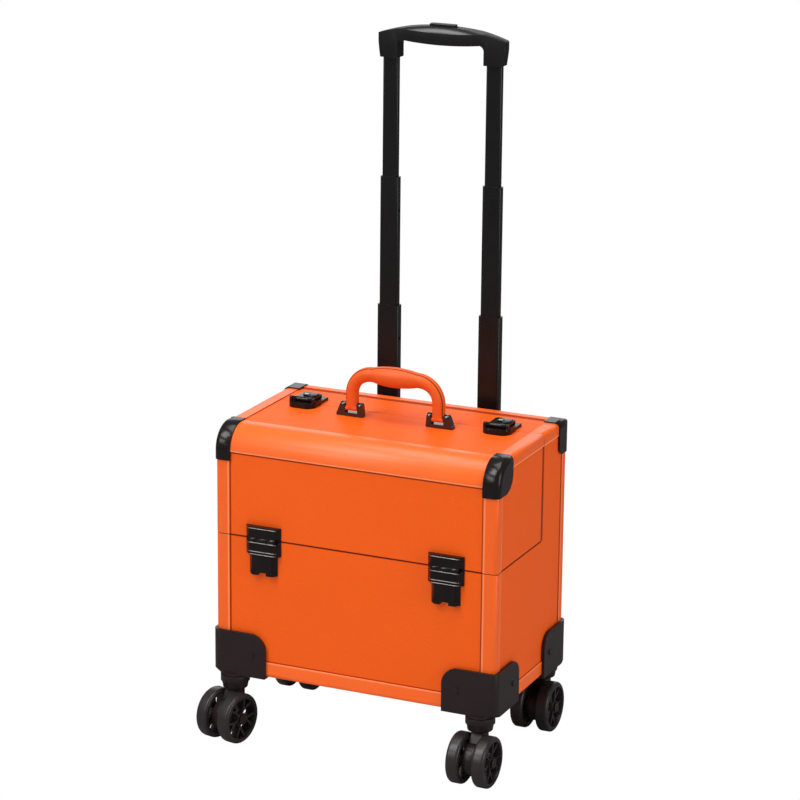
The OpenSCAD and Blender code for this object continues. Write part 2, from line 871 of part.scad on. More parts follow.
module trolley_foot_bracket() {
    cup_h = plate_h - bush_h;
    color(BLACK) difference() {
        tube_bracket(fixed_z0, cup_h, sleeve_t);
        translate([-plate_w, rear_z - through, z_bottom])
            cube([2 * plate_w, plate_t, foot_face_h + slip]);
    }
}

// Outline of the trolley grip: two tapering legs and a bar with a round belly
module grip_outline() {
    top = grip_z0 + pull_grip_h;
    z_hand = grip_z0 + hand_h;
    belly_r = (hand_w * hand_w / 4) / (2 * belly_h);
    difference() {
        polygon([
            [grip_taper - pull_grip_w / 2, grip_z0], [pull_grip_w / 2 - grip_taper, grip_z0],
            [pull_grip_w / 2, z_hand], [pull_grip_w / 2, top], [-pull_grip_w / 2, top],
            [-pull_grip_w / 2, z_hand]
        ]);
        difference() {
            translate([0, z_hand - crown_r / 2]) round_rect(hand_w, crown_r, grip_round);
            translate([0, z_hand - belly_h + belly_r]) circle(r = belly_r, $fn = 360);
        }
    }
}

// Plan of the trolley grip: deep in the middle and slim over the tubes
module grip_plan() {
    half_l = pull_grip_w / 2 - grip_end_r;
    plan_r = (half_l * half_l) / (pull_grip_d - grip_end_d);
    round_rect(pull_grip_w, grip_end_d, grip_end_r);
    intersection() {
        translate([0, pull_grip_d / 2 - plan_r]) circle(r = plan_r, $fn = 360);
        translate([0, plan_r - pull_grip_d / 2]) circle(r = plan_r, $fn = 360);
        translate([-half_l, -pull_grip_d]) square([2 * half_l, 2 * pull_grip_d]);
    }
}

// Trolley grip with a round crown, a leg for each tube and a hollow for the release bar
module trolley_grip() {
    bar_z = grip_z0 + hand_h - belly_h + plate_t;
    top = grip_z0 + pull_grip_h;
    front = -pull_grip_d / 2;
    color(BLACK) translate([0, tube_y, 0]) difference() {
        intersection() {
            along_y(pull_grip_d) grip_outline();
            translate([0, 0, crown_z]) along_y(pull_grip_d) circle(r = crown_r, $fn = 720);
            translate([0, 0, grip_z0]) linear_extrude(pull_grip_h) grip_plan();
            along_x(pull_grip_w) polygon([
                [front, grip_z0], [-front, grip_z0], [-front, top - rear_edge], [-front - rear_edge, top],
                [front + 2 * crown_flat, top], [front, top - crown_slope]
            ]);
        }
        for (i = sides) translate([i * tube_x, 0, 0]) {
            translate([0, 0, grip_z0 - through]) linear_extrude(sec_3_top - grip_z0 + slip + through)
                tube_shape(3, seat);
            translate([0, 0, grip_z0]) cylinder(d = rod_d + 2 * slip, h = bar_z - grip_z0 + through);
        }
        translate([-bar_x - slip, -bar_d / 2 - slip, bar_z])
            cube([2 * (bar_x + slip), bar_d + 2 * slip, bar_h + button_travel + 2 * slip]);
        translate([0, 0, bar_z]) linear_extrude(pull_grip_h)
            round_rect(button_w + 2 * slip, button_d + 2 * slip, tube_r);
    }
}

// Button in the crown with its cross bar and the two rods that reach down to the catches
module release_button() {
    bar_z = grip_z0 + hand_h - belly_h + plate_t + button_travel + slip;
    color(DARK) translate([0, tube_y, 0]) {
        translate([0, 0, bar_z + bar_h / 2]) cube([2 * bar_x, bar_d, bar_h], center = true);
        translate([0, 0, bar_z]) linear_extrude(grip_z0 + pull_grip_h + button_up - bar_z)
            round_rect(button_w, button_d, tube_r);
        for (i = sides) translate([i * tube_x, 0, dot_z(3)]) cylinder(d = rod_d, h = bar_z - dot_z(3) + bar_h);
    }
}

// Open tray from the bottom z0 with height h; its pins and bores are added by the two trays below
module tray_box(z0, h) {
    cover = 2 * tray_x;
    difference() {
        translate([-tray_x, tray_y, z0]) cube([cover, tray_d, h]);
        translate([tray_t - tray_x, tray_y + tray_t, z0 + tray_t])
            cube([cover - 2 * tray_t, tray_d - 2 * tray_t, h]);
    }
}

// Two trunnions on each side for the front and rear arms
module tray_trunnions(y, z) {
    for (i = sides, j = [0, 1]) translate([i * tray_x, y + j * arm_gap, z]) {
        translate([i * (tray_gap + arm_t - slip - tray_t) / 2, 0, 0])
            along_x(tray_gap + arm_t - slip + tray_t) circle(d = pin_d);
        translate([i * (tray_gap - slip - tray_t) / 2, 0, 0])
            along_x(tray_gap - slip + tray_t) circle(d = boss_d);
    }
}

module upper_tray() {
    depth = tray_d - 2 * tray_t;
    color(BLACK) difference() {
        union() {
            tray_box(tray_up_z, tray_up_h);
            tray_trunnions(arm_y + arm_dy, arm_z + arm_dz);
            for (i = sides) translate([i * tray_x / 3 - divider_t / 2, tray_y + tray_t, tray_up_z + tray_t])
                cube([divider_t, depth, tray_up_h / 2]);
            translate([-tray_x / 3, tray_y + tray_t + depth / 2, tray_up_z + tray_t])
                cube([2 * tray_x / 3, divider_t, tray_up_h / 2]);
            for (i = sides) translate([i * (tray_x - tray_t), tray_pin_y, tray_pin_z])
                along_x(2 * tray_t) circle(d = boss_d);
        }
        translate([0, tray_pin_y, tray_pin_z]) along_x(case_w) circle(d = pin_d + 2 * run);
    }
}

module lower_tray() {
    color(BLACK) {
        tray_box(tray_low_z, tray_low_h);
        tray_trunnions(arm_y + arm_dy / 2, arm_z + arm_dz / 2);
        for (i = [-1, 0, 1]) translate([i * tray_x / 2 - divider_t / 2, tray_y + tray_t, tray_low_z + tray_t])
            cube([divider_t, tray_d - 2 * tray_t, tray_low_h / 2]);
    }
}

// Pivots that carry the upper tray on the lid
module tray_pivots() {
    pin_l = inner_x - tray_x + 2 * tray_t;
    color(STEEL) for (i = sides) translate([0, tray_pin_y, tray_pin_z]) {
        translate([i * (inner_x - pin_l / 2), 0, 0]) along_x(pin_l) circle(d = pin_d);
        translate([i * (inner_x - arm_t / 2), 0, 0]) along_x(arm_t) circle(d = boss_d);
    }
}

// Pivots of the swing arms on the base's side boards
module arm_pivots() {
    pin_l = inner_x - arm_x + slip + head_t;
    color(STEEL) for (i = sides, j = [0, 1]) translate([0, arm_y + j * arm_gap, arm_z]) {
        translate([i * (inner_x - pin_l / 2), 0, 0]) along_x(pin_l) circle(d = pin_d);
        translate([i * (inner_x - pin_l + head_t / 2), 0, 0]) along_x(head_t) circle(d = boss_d);
    }
}

// Pair of flat arms, one on each side, from the base pivot past the lower tray to the upper tray
module arm_pair(y) {
    arm_len = norm([arm_dy, arm_dz]);
    color(STEEL) for (i = sides) translate([i * (arm_x + arm_t / 2), y, arm_z])
        along_x(arm_t) difference() {
            rotate(atan2(arm_dz, arm_dy)) {
                translate([0, -arm_w / 2]) square([arm_len, arm_w]);
                circle(d = arm_w);
                translate([arm_len, 0]) circle(d = arm_w);
            }
            for (k = [0, 0.5, 1]) translate([k * arm_dy, k * arm_dz]) circle(d = pin_d + 2 * run);
        }
}

module front_arms() { arm_pair(arm_y); }
module rear_arms() { arm_pair(arm_y + arm_gap); }

// One wall of a corner bracket, seen from outside: the far upper corner is round
module bracket_face() {
    round_square(bracket_l, bracket_h + bracket_base_t, bracket_r);
}

// Bottom corner bracket with the socket of its caster
module bracket(c) {
    i = c[1];
    j = c[2];
    outer_x = hw + bracket_t;
    outer_y = hd + bracket_t;
    color(BLACK) scale([i, j, 1]) difference() {
        union() {
            intersection() {
                translate([outer_x - bracket_l, outer_y - bracket_l, bracket_z0])
                    linear_extrude(bracket_h + bracket_base_t)
                        round_square(bracket_l, bracket_l, bracket_edge_r);
                union() {
                    translate([outer_x, outer_y - bracket_t / 2, bracket_z0]) mirror([1, 0, 0])
                        along_y(bracket_t) bracket_face();
                    translate([outer_x - bracket_t / 2, outer_y, bracket_z0]) mirror([0, 1, 0])
                        along_x(bracket_t) bracket_face();
                    translate([outer_x - bracket_l, outer_y - bracket_l, bracket_z0])
                        cube([bracket_l, bracket_l, bracket_base_t]);
                    translate([hw, hd, bracket_z0]) linear_extrude(bracket_h) bracket_fillet();
                }
            }
            translate([swivel_x, swivel_y, socket_z0]) cylinder(d = socket_d, h = socket_h);
            translate([outer_x, outer_y - bracket_l + bolt_in, z_bottom + bracket_h / 2])
                rotate([0, 90, 0]) cylinder(d = bolt_d, h = bolt_h);
            translate([outer_x - bracket_l + bolt_in, outer_y, z_bottom + bracket_h / 2])
                rotate([-90, 0, 0]) cylinder(d = bolt_d, h = bolt_h);
        }
        translate([swivel_x, swivel_y, socket_z0 - through])
            cylinder(d = stem_d + 2 * run, h = socket_h + bracket_base_t + 2 * through);
        translate([0, 0, z_bottom]) linear_extrude(case_h) translate([hw, hd])
            translate([-case_w, -case_w]) round_square(case_w, case_w, edge_r);
        translate([outer_x, outer_y, bracket_z0]) rotate(45) rotate([0, 45, 0])
            cube([2 * bracket_chamfer, bracket_l, 2 * bracket_chamfer], center = true);
    }
}

// Fills the bracket's round upright edge out to the case's own edge
module bracket_fillet() {
    translate([-edge_r, -edge_r]) square([edge_r + bracket_t, edge_r + bracket_t]);
}

module bracket_front_left() { bracket(corners[0]); }
module bracket_front_right() { bracket(corners[1]); }
module bracket_rear_left() { bracket(corners[2]); }
module bracket_rear_right() { bracket(corners[3]); }

// Moves a caster to its corner and turns it about its swivel
module at_corner(c) {
    translate([c[1] * swivel_x, c[2] * swivel_y, 0]) rotate(c[3]) children();
}

// Half section of the bowl under the bracket, from its wide top to the narrow neck
module bowl_section() {
    top = socket_z0 - slip;
    polygon([
        [0, top], [dome_d / 2, top], [dome_d / 2, top - dome_step],
        [dome_d / 2 - dome_lip, top - dome_step], [dome_d / 2 - 2 * dome_lip, top - 2 * dome_step],
        [dome_d / 2 - 3 * dome_lip, top - 2 * dome_step], [neck_d / 2 + dome_lip, wheel_d],
        [neck_d / 2, wheel_d], [neck_d / 2, wheel_d - neck_h], [0, wheel_d - neck_h]
    ]);
}

// Swivelling fork of a caster: stem, bowl, round housing between the wheels, and the axle
module caster(c) {
    axle_l = wheel_gap + wheel_w + 2 * slip;
    boss_r = fork_boss_d / 2;
    color(BLACK) at_corner(c) {
        translate([0, 0, wheel_d]) cylinder(d = stem_d, h = z_bottom - slip - wheel_d);
        rotate_extrude() bowl_section();
        along_x(fork_w) {
            translate([-trail, axle_z]) circle(r = boss_r);
            polygon([
                [-trail, axle_z + boss_r], [-neck_d / 2, wheel_d], [neck_d / 2, wheel_d],
                [neck_d / 2, axle_z + boss_r], [boss_r - trail, axle_z]
            ]);
        }
        translate([0, -trail, axle_z]) {
            along_x(axle_l) circle(d = axle_d);
            for (i = sides) translate([i * (axle_l + cap_lip) / 2, 0, 0]) along_x(cap_lip)
                circle(d = hub_cap_d);
        }
    }
}

module caster_front_left() { caster(corners[0]); }
module caster_front_right() { caster(corners[1]); }
module caster_rear_left() { caster(corners[2]); }
module caster_rear_right() { caster(corners[3]); }

// Hub and forked spokes of a wheel, seen from its side
module spoke_shape() {
    fork_r = (rim_d + hub_d) / 6;
    intersection() {
        union() {
            circle(d = hub_d);
            for (k = [1 : spokes]) rotate(360 * k / spokes) {
                translate([0, -spoke_w / 2]) square([fork_r + spoke_w, spoke_w]);
                for (j = sides) translate([fork_r, 0]) rotate(j * spoke_fork) translate([0, -spoke_w / 2])
                    square([rim_d / 2, spoke_w]);
            }
        }
        circle(d = rim_d + through);
    }
}

// One of the two wheels of a caster, on its left (side -1) or on its right (side 1)
module wheel(c, side) {
    color(DARK) at_corner(c) translate([side * wheel_gap / 2, -trail, axle_z]) rotate([0, 90, 0])
        difference() {
            union() {
                rotate_extrude($fn = 96) difference() {
                    round_rect(wheel_d, wheel_w, tyre_r);
                    translate([-wheel_d, -wheel_w]) square([wheel_d + rim_d / 2, 2 * wheel_w]);
                }
                linear_extrude(rim_w, center = true) spoke_shape();
                cylinder(d = hub_d, h = wheel_w - 2 * through, center = true);
            }
            cylinder(d = axle_d + 2 * run, h = 2 * wheel_w, center = true);
        }
}

module wheel_front_left_a() { wheel(corners[0], -1); }
module wheel_front_left_b() { wheel(corners[0], 1); }
module wheel_front_right_a() { wheel(corners[1], -1); }
module wheel_front_right_b() { wheel(corners[1], 1); }
module wheel_rear_left_a() { wheel(corners[2], -1); }
module wheel_rear_left_b() { wheel(corners[2], 1); }
module wheel_rear_right_a() { wheel(corners[3], -1); }
module wheel_rear_right_b() { wheel(corners[3], 1); }

base_front_panel();
base_rear_panel();
base_side_panels();
base_bottom_panel();
rear_top_panel();
base_posts();
bottom_profiles();
rear_top_profiles();
rear_top_corners();
bottom_mat();
bracket_front_left();
bracket_front_right();
bracket_rear_left();
bracket_rear_right();
hinge_lower_leaves();
hinge_pins();
lock_strikes();
arm_pivots();
trolley_fixed_tubes();
trolley_top_bracket();
trolley_foot_bracket();
lid_front_panel();
lid_top_panel();
lid_side_panels();
lid_front_rail();
lid_posts();
lid_top_profiles();
lid_corners();
hinge_upper_leaves();
tray_pivots();
handle_feet();
lock_cases();
carry_handle();
lock_flap_left();
lock_flap_right();
lock_barrel_left();
lock_barrel_right();
upper_tray();
lower_tray();
front_arms();
rear_arms();
trolley_section_1();
trolley_section_2();
trolley_section_3();
trolley_grip();
release_button();
caster_front_left();
caster_front_right();
caster_rear_left();
caster_rear_right();
wheel_front_left_a();
wheel_front_left_b();
wheel_front_right_a();
wheel_front_right_b();
wheel_rear_left_a();
wheel_rear_left_b();
wheel_rear_right_a();
wheel_rear_right_b();
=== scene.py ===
# %% [markdown]
# # Dressing a rolling makeup case
#
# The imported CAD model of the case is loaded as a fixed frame. This lesson gives it its looks: a
# camera, node materials built from small arithmetic, soft edges, a studio, and the pieces that
# are better modelled as smooth surfaces, such as the sewn carry handle. Lengths are metres
# where no comment says millimetres.

# %% Load the frame
import math

import bpy
from mathutils import Matrix, Vector
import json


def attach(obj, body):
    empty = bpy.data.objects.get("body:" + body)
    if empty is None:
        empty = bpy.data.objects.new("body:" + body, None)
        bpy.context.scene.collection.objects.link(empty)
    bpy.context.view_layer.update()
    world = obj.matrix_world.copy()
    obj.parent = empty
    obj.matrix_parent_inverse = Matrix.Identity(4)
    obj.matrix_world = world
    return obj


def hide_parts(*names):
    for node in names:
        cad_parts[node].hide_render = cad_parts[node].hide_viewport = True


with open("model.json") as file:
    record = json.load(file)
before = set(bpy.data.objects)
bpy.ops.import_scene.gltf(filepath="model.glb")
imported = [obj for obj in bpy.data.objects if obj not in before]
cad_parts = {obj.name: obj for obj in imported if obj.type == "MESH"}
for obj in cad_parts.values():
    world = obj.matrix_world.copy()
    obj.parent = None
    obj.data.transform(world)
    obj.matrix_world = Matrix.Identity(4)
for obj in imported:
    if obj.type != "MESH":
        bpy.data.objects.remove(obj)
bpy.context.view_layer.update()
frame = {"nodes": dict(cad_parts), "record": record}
nodes = frame["nodes"]

# %% [markdown]
# ## Camera
#
# The camera stands where the photograph was taken from: 24 degrees to the right of the front and
# 16 degrees above the horizon, about four metres away, with a long lens and a very small roll.

# %% Place the camera
YAW, PITCH, ROLL = math.radians(24.24), math.radians(15.95), math.radians(0.57)
FOCAL_PIXELS, FRAME_PIXELS, SENSOR = 3140.75, 800, 36.0
TARGET, DISTANCE = Vector((0.01062, 0.0, 0.46142)), 4.09729
FAR_CLIP = 50.0

back = Vector((math.sin(YAW) * math.cos(PITCH), -math.cos(YAW) * math.cos(PITCH), math.sin(PITCH)))
level = Vector((math.cos(YAW), math.sin(YAW), 0.0))
upright = back.cross(level)
right = level * math.cos(ROLL) + upright * math.sin(ROLL)
up = upright * math.cos(ROLL) - level * math.sin(ROLL)
turn = Matrix((right, up, back)).transposed().to_4x4()

camera = bpy.data.objects.new("camera", bpy.data.cameras.new("camera"))
bpy.context.scene.collection.objects.link(camera)
camera.data.sensor_width = SENSOR
camera.data.lens = FOCAL_PIXELS * SENSOR / FRAME_PIXELS
camera.data.clip_end = FAR_CLIP
camera.matrix_world = Matrix.Translation(TARGET + back * DISTANCE) @ turn
bpy.context.scene.camera = camera
bpy.context.scene.view_settings.view_transform = "Standard"
print("lens", round(camera.data.lens, 2), "mm")

# %% [markdown]
# ## Materials from arithmetic
#
# A wire stands for one output of a node. Adding, subtracting, multiplying or comparing wires makes
# the math nodes, so a texture reads like a formula. Every other node comes from one method that
# takes the node's type, its settings and its inputs.

# %% Wires and networks
FLANK = 2.5                     # steepness of a drawn line's flanks
EDGE_RISE = 6.0                 # how fast the edge mask grows as the rounded normal leaves the plain one
MIX_FACTOR, MIX_A, MIX_B, MIX_COLOUR = 0, 6, 7, 2       # sockets of a Mix node set to colours


def linear(red, green, blue):
    """A colour seen on screen, 0 to 255, as the linear colour that a shader takes."""
    def one(c):
        c = c / 255
        return c / 12.92 if c <= 0.04045 else ((c + 0.055) / 1.055) ** 2.4
    return (one(red), one(green), one(blue), 1.0)


class Wire:
    """One output socket, with arithmetic."""

    def __init__(self, net, socket):
        self.net, self.socket = net, socket

    def _math(self, operation, a, b=None, clamp=False):
        settings = {"operation": operation, "use_clamp": clamp}
        return self.net.node("ShaderNodeMath", settings, {0: a} if b is None else {0: a, 1: b})[0]

    def __add__(self, other):
        return self._math("ADD", self, other)

    def __sub__(self, other):
        return self._math("SUBTRACT", self, other)

    def __mul__(self, other):
        return self._math("MULTIPLY", self, other)

    def __truediv__(self, other):
        return self._math("DIVIDE", self, other)

    def __radd__(self, other):
        return self._math("ADD", other, self)

    def __rsub__(self, other):
        return self._math("SUBTRACT", other, self)

    def __gt__(self, other):
        return self._math("GREATER_THAN", self, other)

    def clamp(self):
        return self._math("ADD", self, 0.0, clamp=True)

    def absolute(self):
        return self._math("ABSOLUTE", self)


class Outputs:
    """The outputs of a node, by name or number, as wires."""

    def __init__(self, net, node):
        self.net, self.node = net, node

    def __getitem__(self, key):
        return Wire(self.net, self.node.outputs[key])


class Net:
    """A material's network, ending in a Principled shader."""

    def __init__(self, name, **constants):
        self.material = bpy.data.materials.new(name)
        self.material.use_nodes = True
        self.tree = self.material.node_tree
        self.shader = self.tree.nodes["Principled BSDF"]
        for key, value in constants.items():
            self.shader.inputs[key.replace("_", " ")].default_value = value

    def plug(self, socket, value):
        if isinstance(value, Wire):
            self.tree.links.new(value.socket, socket)
        else:
            socket.default_value = value

    def node(self, kind, settings=None, inputs=None):
        made = self.tree.nodes.new(kind)
        for key, value in (settings or {}).items():
            setattr(made, key, value)
        for key, value in (inputs or {}).items():
            self.plug(made.inputs[key], value)
        return Outputs(self, made)

    def place(self):
        return self.node("ShaderNodeTexCoord")["Object"]

    def noise(self, scale, detail=3.0, rough=0.5, at=None):
        inputs = {"Vector": at or self.place(), "Scale": scale, "Detail": detail,
                  "Roughness": rough}
        return self.node("ShaderNodeTexNoise", None, inputs)["Fac"]

    def pebbles(self, scale):
        """Rounded cells that lie close together, as in embossed leather."""
        inputs = {"Vector": self.place(), "Scale": scale}
        return self.node("ShaderNodeTexVoronoi", {"feature": "SMOOTH_F1"}, inputs)["Distance"]

    def blend(self, factor, a, b):
        inputs = {MIX_FACTOR: factor, MIX_A: a, MIX_B: b}
        return self.node("ShaderNodeMix", {"data_type": "RGBA"}, inputs)[MIX_COLOUR]

    def axes(self):
        """X, Y and Z of the CAD frame in metres; a node's mesh keeps them while its body moves."""
        parts = self.node("ShaderNodeSeparateXYZ", None, {"Vector": self.place()})
        return parts["X"], parts["Y"], parts["Z"]

    def depth(self, axis):
        """A place along one axis, where x counts from the middle of the case to both sides."""
        x, y, z = self.axes()
        return {"x": x.absolute(), "y": y, "z": z}[axis]

    def dot(self, a, b):
        settings = {"operation": "DOT_PRODUCT"}
        return self.node("ShaderNodeVectorMath", settings, {0: a, 1: b})["Value"]

    def line(self, wire, at, half):
        """1 within half of the place at, with a short soft flank."""
        return ((half - (wire - at).absolute()) * (FLANK / half)).clamp()

    def lines(self, places):
        """1 on any (axis, place, half width) line; x counts on both sides, and an axis, a place and
        a sign may follow to keep the line beyond that place."""
        total = 0.0
        for axis, at, half, *beyond in places:
            drawn = self.line(self.depth(axis), at, half)
            if beyond:
                drawn = drawn * ((self.depth(beyond[0]) - beyond[1]) * beyond[2] > 0.0)
            total = drawn + total
        return total.clamp()

    def edge(self, radius):
        """1 on crisp edges, 0 on flats; finishes paint these edges paler, as wear and as painted
        highlight.
        """
        bevel = self.node("ShaderNodeBevel", {"samples": 4}, {"Radius": radius})["Normal"]
        plain = self.node("ShaderNodeNewGeometry")["Normal"]
        return ((1.0 - self.dot(bevel, plain)) * EDGE_RISE).clamp()

    def bump(self, height, strength, distance):
        inputs = {"Height": height, "Strength": strength, "Distance": distance}
        return self.node("ShaderNodeBump", None, inputs)["Normal"]

    def set(self, **inputs):
        for key, value in inputs.items():
            self.plug(self.shader.inputs[key.replace("_", " ")], value)
        return self.material


print("wires and networks ready")

# %% [markdown]
# ## Orange finishes
#
# The boards wear an orange leather print with a fine pebble grain, painted shade along the gaps
# and dark felt on the inner face. The profiles are painted almost the same orange, smoother and a
# little brighter, with paler edges for wear and painted highlight, a painted highlight line where a
# rim catches the light, and a lighter nose as painted highlight on its curve.

# %% Orange finishes
ORANGE, ORANGE_DARK = linear(240, 93, 12), linear(230, 85, 8)
# The second colour is pale orange for rubbed paint and for painted highlight on crisp edges.
PAINT, WORN_AND_HIGHLIGHT = linear(238, 92, 12), linear(255, 140, 82)
# Painted shade darkens the gap lines; painted highlight pales the rim lines.
GAP_SHADOW, RIM_HIGHLIGHT = linear(112, 24, 0), linear(255, 168, 118)
FELT = linear(58, 54, 56), linear(36, 33, 35)
FELT_ROUGH = 0.4                # how much rougher the lining is than the leather
GAP_SHADE = 0.75

# Places on the case and half widths of the painted shade and highlight lines drawn there.
PARTING_Z, SPLIT_Y = 0.284, 0.037       # where the lid ends, in front and on the sides
HAIR, THIN, PARTING, SPLIT = 0.0009, 0.0015, 0.0016, 0.0042
COVER = {"colour": ORANGE, "dark": ORANGE_DARK, "grain": 420.0, "strength": 0.75, "rough": 0.46}


def leather(name, colour, dark, grain, strength, rough, gap_shadows=(), inside=None):
    """Leather print with painted shade along gap lines; inside is (axis, place, sign) where felt
    starts.
    """
    net = Net(name, Specular_IOR_Level=0.18)
    pebble = net.pebbles(grain)
    crease = net.noise(grain * 0.6, 4.0, 0.6)
    cloud = net.noise(9.0, 2.0, 0.5)
    tone = (cloud * 0.5 + pebble * 0.35).clamp()
    skin = net.blend(tone, colour, dark)
    # Painted shade: dark lines where gaps and seams between parts fall in shadow.
    if gap_shadows:
        skin = net.blend(net.lines(gap_shadows) * GAP_SHADE, skin, GAP_SHADOW)
    sheen = rough + crease * 0.16
    if inside:
        axis, place, sign = inside
        lined = (net.depth(axis) - place) * sign > 0.0
        skin = net.blend(lined, skin, net.blend(crease, *FELT))
        sheen = (sheen + lined * FELT_ROUGH).clamp()
    return net.set(
        Base_Color=skin,
        Roughness=sheen,
        Normal=net.bump(pebble * 0.7 + crease * 0.5, strength, 0.0005),
    )


def painted(name, colour, rim_highlights=(), highlight_strength=0.4):
    """Smooth paint, paler on crisp edges for wear and painted highlight, with painted highlight
    rims.
    """
    net = Net(name, Specular_IOR_Level=0.3)
    fleck = net.noise(1400.0, 2.0, 0.5)
    cloud = net.noise(14.0, 3.0, 0.5)
    # Paler crisp edges: wear, and painted highlight where the edges catch the light.
    wear_and_highlight = (net.edge(0.0009) * (0.55 + net.noise(60.0, 3.0, 0.6) * 0.5)).clamp()
    skin = net.blend(wear_and_highlight, net.blend(cloud * 0.12, colour, WORN_AND_HIGHLIGHT), WORN_AND_HIGHLIGHT)
    return net.set(
        # Painted highlight lines along the rims.
        Base_Color=net.blend(net.lines(rim_highlights) * highlight_strength, skin, RIM_HIGHLIGHT) if rim_highlights else skin,
        Roughness=0.3 + cloud * 0.08,
        Normal=net.bump(fleck, 0.06, 0.0001),
    )


# Each board's gap list is painted shade along seams and flange edges.
front_board = leather("front_leather", **COVER, inside=("y", -0.1125, 1.0), gap_shadows=[
    ("x", 0.1792, THIN), ("z", 0.1146, HAIR), ("z", 0.3960, THIN), ("z", PARTING_Z, PARTING)])
side_board = leather("side_leather", **COVER, inside=("x", 0.1955, -1.0), gap_shadows=[
    ("y", -0.102, HAIR), ("y", 0.102, 0.0025), ("z", 0.414, HAIR), ("z", 0.114, HAIR),
    ("z", PARTING_Z, PARTING, "y", SPLIT_Y, -1.0), ("y", SPLIT_Y, SPLIT, "z", PARTING_Z, 1.0)])
top_board = leather("top_leather", **COVER, inside=("z", 0.4255, -1.0), gap_shadows=[
    ("x", 0.181, HAIR), ("y", -0.077, HAIR), ("y", 0.0985, 0.005)])
rear_board = leather("rear_leather", **COVER, inside=("y", 0.1125, -1.0))
board = leather("board_leather", **COVER)
profile = painted("profile_paint", PAINT)
# Each rim list draws painted highlight lines on that paint.
post_paint = painted("post_paint", PAINT, [
    ("x", 0.1816, 0.0014), ("y", -0.1024, 0.0016), ("y", 0.1024, 0.0016)])
rail_paint = painted("rail_paint", PAINT, [("z", 0.4147, HAIR)], highlight_strength=0.8)
# The nose paint is lighter and yellower than PAINT, as painted highlight on its curve.
nose_paint = painted("nose_paint", linear(241, 101, 36), [
    ("z", 0.3982, 0.0012), ("y", -0.0776, 0.0010)])
foot_paint = painted("foot_paint", linear(248, 99, 20), [("z", 0.1128, 0.0012)])
handle_skin = leather("handle_leather", linear(226, 96, 38), linear(208, 80, 28), 900.0, 0.1, 0.34)
seam_line = leather("seam_edge", linear(128, 44, 16), linear(96, 30, 12), 900.0, 0.2, 0.6)
print("orange finishes:", board.name, profile.name, handle_skin.name)

# %% [markdown]
# ## Black finishes and metal
#
# Everything black is moulded or painted, with fine sparks and paler edges for rubbing and painted
# highlight. The trolley grip has one slanted facet that mirrors the overhead lamp, each key barrel
# shows a bright plug, and the hinge ridges are a lighter metal as painted highlight.

# %% Black finishes and metal
TO_MM, TO_MM2 = 1000.0, 1.0e6
EDGE_PALE_GAIN, EDGE_PALE_LIFT = 2.2, 0.012         # a paler edge's colour, from the moulding's own, for rubbing and painted highlight
GRIP_FACET = (0.0, -0.625, 0.781)       # outward normal of the grip's slanted front facet
GRIP_REACH = 0.064                      # the polish fades out this far from the middle
GRIP_TOP, GRIP_SAG = 0.9300, 0.6        # the grip's crest, which falls by x * x / GRIP_SAG
BAND_BELOW, BAND_SPREAD = 5.2, 8.0      # mm below the crest, and squared half width in mm2
FACET_FROM, FACET_RISE = 0.93, 16.0     # how closely a face must follow the facet's normal
KEY_X, KEY_Y = 0.140, 0.032
PLUG_EDGE = 7.0                         # squared radius in mm2 where the bright plug ends


def moulded(name, colour, rough, grain=700.0, strength=0.12, shine=0.16, rub_and_highlight=0.5):
    """Moulded plastic or black lacquer, paler on edges for rubbing and painted highlight."""
    net = Net(name, Specular_IOR_Level=shine)
    spark = net.noise(grain, 3.0, 0.6)
    cloud = net.noise(20.0, 2.0, 0.5)
    lighter = tuple(min(1.0, c * EDGE_PALE_GAIN + EDGE_PALE_LIFT) for c in colour[:3]) + (1.0,)
    # Paler edges: rubbing, and painted highlight where edges catch the light.
    wear_and_highlight = (net.edge(0.0006) * net.noise(90.0, 3.0, 0.6)).clamp()
    return net.set(
        Base_Color=net.blend((wear_and_highlight * rub_and_highlight + cloud * 0.25).clamp(), colour, lighter),
        Roughness=rough + spark * 0.12 - 0.06,
        Normal=net.bump(spark, strength, 0.0002),
    )


def polished_grip(name, colour):
    """Matt moulding whose slanted front facet carries a streaky polished band."""
    net = Net(name, Specular_IOR_Level=0.06, Coat_Roughness=0.2)
    spark = net.noise(700.0, 3.0, 0.6)
    facing = net.dot(net.node("ShaderNodeNewGeometry")["Normal"], GRIP_FACET)
    x, y, z = net.axes()
    side = (1.0 - x * x / (GRIP_REACH * GRIP_REACH)).clamp()
    below = (GRIP_TOP - x * x / GRIP_SAG - z) * TO_MM - BAND_BELOW
    band = (1.0 - below * below / BAND_SPREAD).clamp()
    stretched = net.node("ShaderNodeCombineXYZ", None, {"X": x, "Z": z * 8.0})["Vector"]
    streak = net.noise(60.0, 3.0, 0.6, at=stretched)
    facet = ((facing - FACET_FROM) * FACET_RISE).clamp()
    return net.set(
        # Paler edges on the grip: rubbing, and painted highlight.
        Base_Color=net.blend(net.edge(0.0008) * 0.4 + spark * 0.1, colour, linear(70, 68, 68)),
        Roughness=0.38 + spark * 0.1,
        Coat_Weight=facet * side * band * (0.5 + streak * 0.9).clamp(),
        Normal=net.bump(spark, 0.05, 0.0002),
    )


def metal(name, colour, rough):
    """Bare metal with a brushed grain."""
    net = Net(name, Metallic=1.0)
    brushed = net.noise(300.0, 4.0, 0.7)
    return net.set(
        Base_Color=net.blend(brushed, colour, tuple(c * 0.8 for c in colour[:3]) + (1.0,)),
        Roughness=rough + brushed * 0.15,
        Normal=net.bump(brushed, 0.05, 0.0001),
    )


